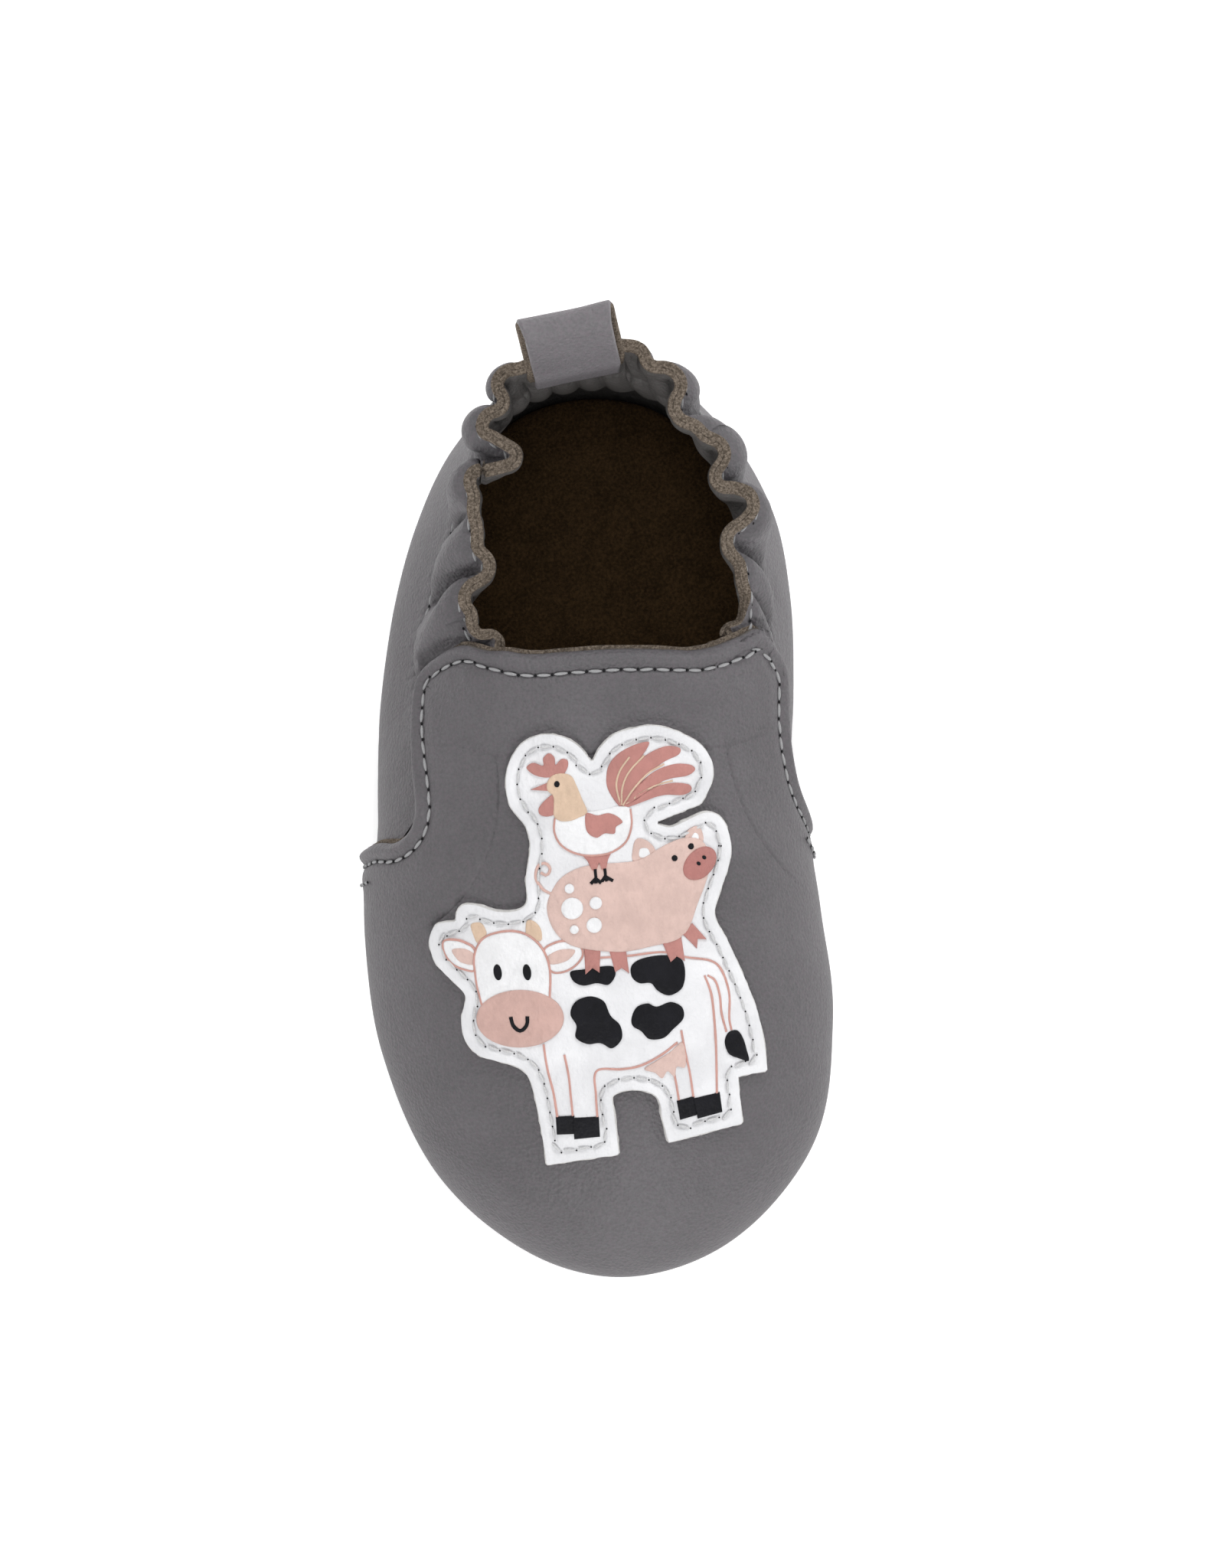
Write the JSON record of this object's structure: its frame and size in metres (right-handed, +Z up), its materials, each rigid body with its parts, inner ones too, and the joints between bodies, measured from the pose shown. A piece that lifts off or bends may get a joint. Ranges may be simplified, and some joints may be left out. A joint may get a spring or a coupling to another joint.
{
  "type": "baby bootie",
  "caption": "Soft-soled leather baby bootie with an elastic gathered collar, a lapped tongue, a heel pull loop and a stitched farm-animal applique.",
  "frame": {"origin": "centre of the sole's ground face, midway between heel and toe", "axes": "+Z up out of the foot opening, +Y towards the heel, -Y towards the toe, +X towards the inner side of a right foot"},
  "size_m": [0.0658, 0.1307, 0.0604],
  "materials": {
    "outsole_suede": "suede, nap side out",
    "foam": "thin foam padding",
    "insole_suede": "dark brown suede",
    "grey_leather": "fine-grained grey leather, soft sheen",
    "dark_lining": "dark grey flesh side",
    "white_leather": "white leather with a printed pattern",
    "grey_thread": "spun thread",
    "elastic": "woven elastic band"
  },
  "bodies": {
    "bootie": {"outsole": "outsole_suede", "foam_pad": "foam", "insole": "insole_suede", "vamp": "grey_leather", "vamp_lining": "dark_lining", "quarter": "grey_leather", "quarter_lining": "dark_lining", "collar_elastic": "elastic", "collar_topstitch": "grey_thread", "casing_stitch": "grey_thread", "heel_loop_tails": "grey_leather", "patch_lower": "white_leather", "patch_stitch_lower": "grey_thread", "wing_topstitch_left": "grey_thread", "wing_topstitch_right": "grey_thread", "side_tack_left": "grey_thread", "side_tack_right": "grey_thread"},
    "tongue": {"vamp_tongue": "grey_leather", "tongue_lining": "dark_lining", "patch_upper": "white_leather", "patch_stitch_upper": "grey_thread", "tongue_topstitch": "grey_thread"},
    "pull_loop": {"heel_loop": "grey_leather"}
  },
  "joints": [
    {"name": "tongue_lift", "type": "hinge", "parent": "bootie", "child": "tongue", "pos_m": [0, 0, 0.0385], "axis": [1, 0, 0], "range_deg": [0, 20], "stiffness_Nm_per_rad": 0.01},
    {"name": "heel_loop_flop", "type": "hinge", "parent": "bootie", "child": "pull_loop", "pos_m": [0, 0.06, 0.0479], "axis": [1, 0, 0], "range_deg": [-35, 60], "stiffness_Nm_per_rad": 0.002}
  ]
}
